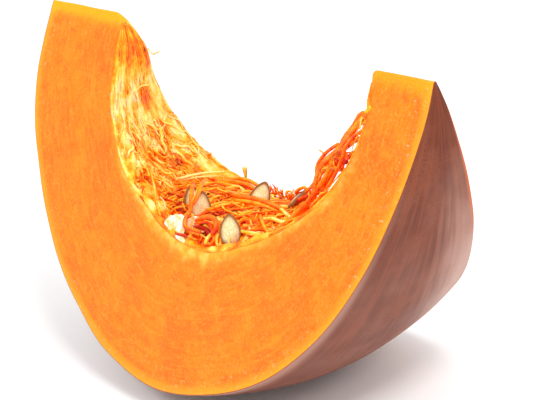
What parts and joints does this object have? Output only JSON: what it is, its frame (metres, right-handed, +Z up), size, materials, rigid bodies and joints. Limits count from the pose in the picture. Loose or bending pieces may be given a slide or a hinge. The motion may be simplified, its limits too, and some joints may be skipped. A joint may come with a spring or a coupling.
{
  "type": "wedge of brown-skinned winter squash",
  "caption": "Pole-to-pole wedge of a winter squash standing on its rind, with thick orange flesh and an open seed hollow holding stringy pulp and seeds.",
  "frame": {"origin": "middle of the small flat spot under the belly that the wedge stands on", "axes": "+X along the whole squash's pole-to-pole axis, towards the thinner arm; +Z up; -Y towards the near cut face"},
  "size_m": [0.2738, 0.1348, 0.171],
  "materials": {
    "flesh": "moist cut flesh, satin; reddish-brown waxy rind outside",
    "pulp": "wet stringy fibres",
    "lining": "moist pale fibres",
    "seed": "smooth seed coat with a darker rim",
    "cut_seed": "split white seed hull"
  },
  "bodies": {
    "root": {"squash_wedge": "flesh", "pulp": "pulp", "pulp_web": "pulp", "pale_lining": "lining", "seed_1": "seed", "seed_2": "seed", "seed_3": "seed", "seed_4": "seed", "seed_5": "seed", "seed_6": "seed", "seed_7": "seed", "seed_8": "seed", "cut_seed_1": "cut_seed", "cut_seed_2": "cut_seed"}
  },
  "joints": []
}
